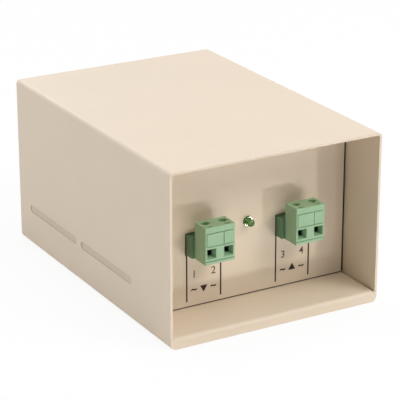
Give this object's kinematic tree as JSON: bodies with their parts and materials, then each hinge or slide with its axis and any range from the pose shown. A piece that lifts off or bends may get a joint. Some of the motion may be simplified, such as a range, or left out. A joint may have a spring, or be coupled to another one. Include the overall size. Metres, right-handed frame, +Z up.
{
  "type": "outdoor power supply",
  "caption": "Beige folded steel box with a front hood over green pull-off screw terminals and a green lamp, with a mains transformer inside.",
  "frame": {"origin": "centre of the base at table height, under the middle of the case", "axes": "+Z up, +X to the right seen from the hooded front, +Y from the front to the back"},
  "size_m": [0.095, 0.135, 0.072],
  "materials": {
    "case_paint": "light ivory powder coat, satin",
    "rivet_aluminium": "bare",
    "zinc_steel": "zinc plated",
    "spacer_nylon": "natural nylon",
    "board_laminate": "green solder mask",
    "lamp_green": "tinted clear epoxy",
    "tinned_wire": "tin plated",
    "resistor_body": "lacquered",
    "diode_body": "moulded",
    "fuse_glass": "clear",
    "fuse_brass": "nickelled",
    "header_green": "moulded, semi-matt",
    "plug_green": "moulded, semi-matt",
    "clamp_steel": "zinc plated",
    "core_steel": "varnished plates",
    "bobbin_plastic": "moulded",
    "copper_wire": "enamelled",
    "lead_yellow": "insulation",
    "lead_black": "insulation"
  },
  "bodies": {
    "case": {"base_tray": "case_paint", "board_nuts": "zinc_steel", "board_spacers": "spacer_nylon", "bobbin": "bobbin_plastic", "bobbin_pins": "tinned_wire", "case_screws": "zinc_steel", "clinch_nuts": "zinc_steel", "connector_board": "board_laminate", "core_legs": "core_steel", "core_strap": "zinc_steel", "core_yoke": "core_steel", "cover": "case_paint", "front_panel": "case_paint", "fuse_caps": "fuse_brass", "fuse_clips": "zinc_steel", "fuse_element": "tinned_wire", "fuse_tube": "fuse_glass", "indicator_led": "lamp_green", "input_header": "header_green", "input_pins": "tinned_wire", "led_diode": "diode_body", "led_legs": "tinned_wire", "led_resistor": "resistor_body", "output_header": "header_green", "output_pins": "tinned_wire", "panel_brackets": "zinc_steel", "panel_rivets": "rivet_aluminium", "panel_studs": "zinc_steel", "primary_leads": "lead_black", "primary_winding": "copper_wire", "rear_panel": "case_paint", "secondary_leads": "lead_yellow", "secondary_winding": "copper_wire", "strap_nuts": "zinc_steel", "strap_screws": "zinc_steel"},
    "output_plug_body": {"output_plug": "plug_green", "output_contacts": "tinned_wire"},
    "output_screw_1_body": {"output_clamp_screw_1": "clamp_steel"},
    "output_cage_1_body": {"output_clamp_cage_1": "clamp_steel"},
    "output_screw_2_body": {"output_clamp_screw_2": "clamp_steel"},
    "output_cage_2_body": {"output_clamp_cage_2": "clamp_steel"},
    "input_plug_body": {"input_plug": "plug_green", "input_contacts": "tinned_wire"},
    "input_screw_1_body": {"input_clamp_screw_1": "clamp_steel"},
    "input_cage_1_body": {"input_clamp_cage_1": "clamp_steel"},
    "input_screw_2_body": {"input_clamp_screw_2": "clamp_steel"},
    "input_cage_2_body": {"input_clamp_cage_2": "clamp_steel"}
  },
  "joints": [
    {"name": "output_plug_pull", "type": "slide", "parent": "case", "child": "output_plug_body", "axis": [0, -1, 0], "range_m": [0, 0.03]},
    {"name": "output_screw_1_turn", "type": "hinge", "parent": "output_plug_body", "child": "output_screw_1_body", "pos_m": [-0.02361, -0.05215, 0.04], "axis": [0, 0, -1], "range_deg": [0, 1600]},
    {"name": "output_cage_1_lift", "type": "slide", "parent": "output_plug_body", "child": "output_cage_1_body", "axis": [0, 0, 1], "range_m": [0, 0.002]},
    {"name": "output_screw_2_turn", "type": "hinge", "parent": "output_plug_body", "child": "output_screw_2_body", "pos_m": [-0.01599, -0.05215, 0.04], "axis": [0, 0, -1], "range_deg": [0, 1600]},
    {"name": "output_cage_2_lift", "type": "slide", "parent": "output_plug_body", "child": "output_cage_2_body", "axis": [0, 0, 1], "range_m": [0, 0.002]},
    {"name": "input_plug_pull", "type": "slide", "parent": "case", "child": "input_plug_body", "axis": [0, -1, 0], "range_m": [0, 0.03]},
    {"name": "input_screw_1_turn", "type": "hinge", "parent": "input_plug_body", "child": "input_screw_1_body", "pos_m": [0.01779, -0.05215, 0.04], "axis": [0, 0, -1], "range_deg": [0, 1600]},
    {"name": "input_cage_1_lift", "type": "slide", "parent": "input_plug_body", "child": "input_cage_1_body", "axis": [0, 0, 1], "range_m": [0, 0.002]},
    {"name": "input_screw_2_turn", "type": "hinge", "parent": "input_plug_body", "child": "input_screw_2_body", "pos_m": [0.02541, -0.05215, 0.04], "axis": [0, 0, -1], "range_deg": [0, 1600]},
    {"name": "input_cage_2_lift", "type": "slide", "parent": "input_plug_body", "child": "input_cage_2_body", "axis": [0, 0, 1], "range_m": [0, 0.002]}
  ],
  "couplings": [
    {"joint": "output_screw_1_turn", "follows": "output_cage_1_lift", "rad_per_m": 13963},
    {"joint": "output_screw_2_turn", "follows": "output_cage_2_lift", "rad_per_m": 13963},
    {"joint": "input_screw_1_turn", "follows": "input_cage_1_lift", "rad_per_m": 13963},
    {"joint": "input_screw_2_turn", "follows": "input_cage_2_lift", "rad_per_m": 13963}
  ]
}
